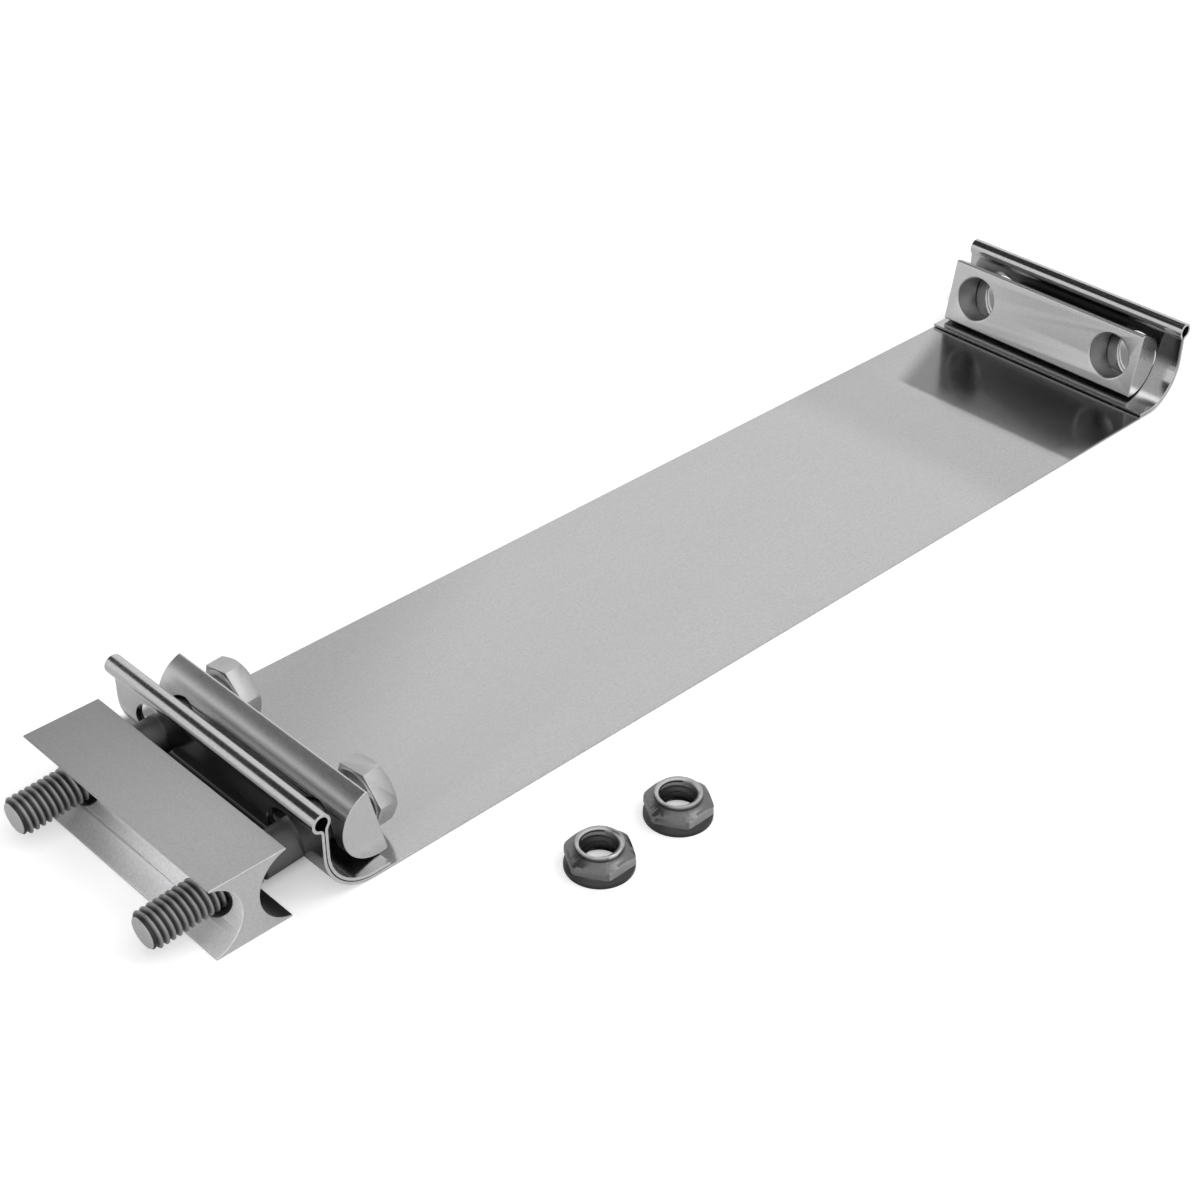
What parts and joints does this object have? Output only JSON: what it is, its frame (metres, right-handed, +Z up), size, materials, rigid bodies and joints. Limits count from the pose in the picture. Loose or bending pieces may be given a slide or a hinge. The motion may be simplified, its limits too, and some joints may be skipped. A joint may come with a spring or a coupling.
{
  "type": "exhaust band clamp",
  "caption": "Flat exhaust band clamp, opened out, with half-round bars, a grooved spline block, bolts and loose flange nuts.",
  "frame": {"origin": "middle of the band's underside, on the floor it lies on", "axes": "+X along the band from the bolted end to the far end, +Y across the band, +Z up, the way both ends are turned"},
  "size_m": [0.3531, 0.1143, 0.0248],
  "materials": {
    "band": "satin rolled sheet, light grey",
    "clamp_end_bar": "satin drawn bar",
    "far_end_bar": "satin drawn bar",
    "spline_block": "satin extruded bar",
    "bolt_front": "zinc-plated steel",
    "bolt_rear": "zinc-plated steel",
    "flange_nut_left": "dark zinc-plated steel",
    "flange_nut_right": "dark zinc-plated steel"
  },
  "bodies": {
    "band": {"band": "band", "far_end_bar": "far_end_bar", "flange_nut_left": "flange_nut_left", "flange_nut_right": "flange_nut_right"},
    "clamp_bar": {"clamp_end_bar": "clamp_end_bar"},
    "bolt_front": {"bolt_front": "bolt_front"},
    "bolt_rear": {"bolt_rear": "bolt_rear"},
    "spline": {"spline_block": "spline_block"}
  },
  "joints": [
    {"name": "clamp_bar_slide", "type": "slide", "parent": "band", "child": "clamp_bar", "axis": [1, 0, 0], "range_m": [-0.0039, 0]},
    {"name": "bolt_front_slide", "type": "slide", "parent": "clamp_bar", "child": "bolt_front", "axis": [0.9976, 0, 0.0698], "range_m": [0, 0.05]},
    {"name": "bolt_rear_slide", "type": "slide", "parent": "clamp_bar", "child": "bolt_rear", "axis": [0.9976, 0, 0.0698], "range_m": [0, 0.05]},
    {"name": "spline_slide", "type": "slide", "parent": "band", "child": "spline", "axis": [1, 0, 0], "range_m": [-0.004, 0.0069]}
  ]
}
